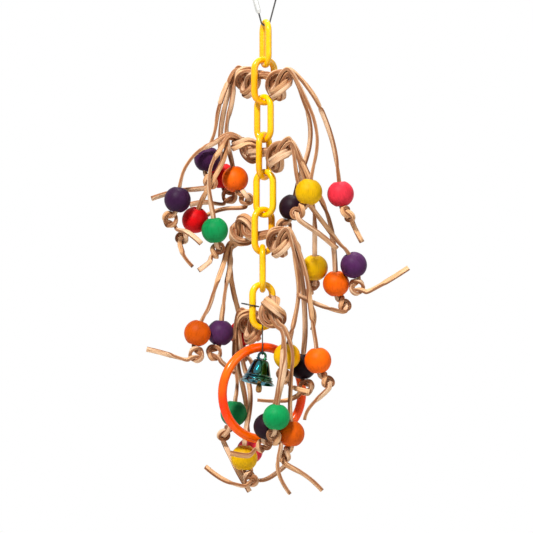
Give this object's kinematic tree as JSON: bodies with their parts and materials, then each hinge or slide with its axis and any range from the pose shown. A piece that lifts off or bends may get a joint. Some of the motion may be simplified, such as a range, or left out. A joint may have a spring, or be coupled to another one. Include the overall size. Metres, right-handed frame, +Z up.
{
  "type": "hanging bird chew toy",
  "caption": "Hanging bird toy: a plastic chain carries knotted leather laces with wooden beads, and a ring and a bell hang below.",
  "frame": {"origin": "inner top of the wire hanger eye, where it rests on its hook or bar", "axes": "+Z up, seen from -Y in the picture, +X to the viewer's right"},
  "size_m": [0.1971, 0.1015, 0.401],
  "materials": {
    "hanger_wire": "dark, worn",
    "barrel_metal": "matte",
    "chain_plastic": "glossy",
    "lace_leather": "suede",
    "bead_purple": "dyed, matte",
    "bead_dark_purple": "dyed, matte",
    "bead_red": "dyed, matte",
    "bead_pink_red": "dyed, matte",
    "bead_orange": "dyed, matte",
    "bead_yellow": "dyed, matte",
    "bead_green": "dyed, matte",
    "ring_plastic": "glossy",
    "bell_metal": "metallic lacquer",
    "clapper_metal": "dull",
    "small_wire": "bright"
  },
  "bodies": {
    "hanger": {"hanger_eye": "hanger_wire", "hanger_barrel": "barrel_metal"},
    "top_link": {"chain_link_1": "chain_plastic"},
    "chain": {"chain_link_2": "chain_plastic", "chain_link_3": "chain_plastic", "chain_link_4": "chain_plastic", "chain_link_5": "chain_plastic", "chain_link_6": "chain_plastic", "chain_link_7": "chain_plastic", "chain_link_8": "chain_plastic", "lace_1": "lace_leather", "lace_2": "lace_leather", "lace_3": "lace_leather", "lace_4": "lace_leather", "lace_5": "lace_leather", "lace_6": "lace_leather", "lace_7": "lace_leather", "lace_8": "lace_leather", "lace_9": "lace_leather", "lace_10": "lace_leather", "lace_11": "lace_leather", "lace_12": "lace_leather", "bead_1a": "bead_purple", "bead_1b": "bead_red", "bead_1c": "bead_orange", "bead_1d": "bead_dark_purple", "bead_1e": "bead_yellow", "bead_1f": "bead_pink_red", "bead_2a": "bead_purple", "bead_2b": "bead_red", "bead_2c": "bead_green", "bead_2d": "bead_yellow", "bead_2e": "bead_orange", "bead_2f": "bead_purple", "bead_3a": "bead_orange", "bead_3b": "bead_purple", "bead_3c": "bead_red", "bead_3d": "bead_yellow", "bead_3e": "bead_dark_purple", "bead_3f": "bead_orange", "bead_4a": "bead_green", "bead_4b": "bead_pink_red", "bead_4c": "bead_yellow", "bead_4d": "bead_green", "bead_4e": "bead_dark_purple", "bead_4f": "bead_orange", "split_ring": "small_wire", "hook_loop": "small_wire"},
    "ring": {"orange_ring": "ring_plastic"},
    "bell": {"bell": "bell_metal"},
    "clapper": {"clapper": "clapper_metal"}
  },
  "joints": [
    {"name": "top_link_swing", "type": "hinge", "parent": "hanger", "child": "top_link", "pos_m": [0, 0, -0.04843], "axis": [0.989, 0.1478, 0], "range_deg": [-60, 60]},
    {"name": "chain_swing", "type": "hinge", "parent": "top_link", "child": "chain", "pos_m": [0, 0, -0.07823], "axis": [0.2924, -0.9563, 0], "range_deg": [-45, 45]},
    {"name": "ring_swing", "type": "hinge", "parent": "chain", "child": "ring", "pos_m": [-0.0023, 0, -0.28963], "axis": [-0.5, 0.866, 0], "range_deg": [-15, 15]},
    {"name": "bell_swing", "type": "hinge", "parent": "chain", "child": "bell", "pos_m": [-0.0023, 0, -0.29518], "axis": [0, 1, 0], "range_deg": [-9, 13]},
    {"name": "clapper_swing", "type": "hinge", "parent": "bell", "child": "clapper", "pos_m": [-0.00373, -0.00121, -0.30279], "axis": [0, 0.9877, -0.1564], "range_deg": [-20, 20]}
  ]
}
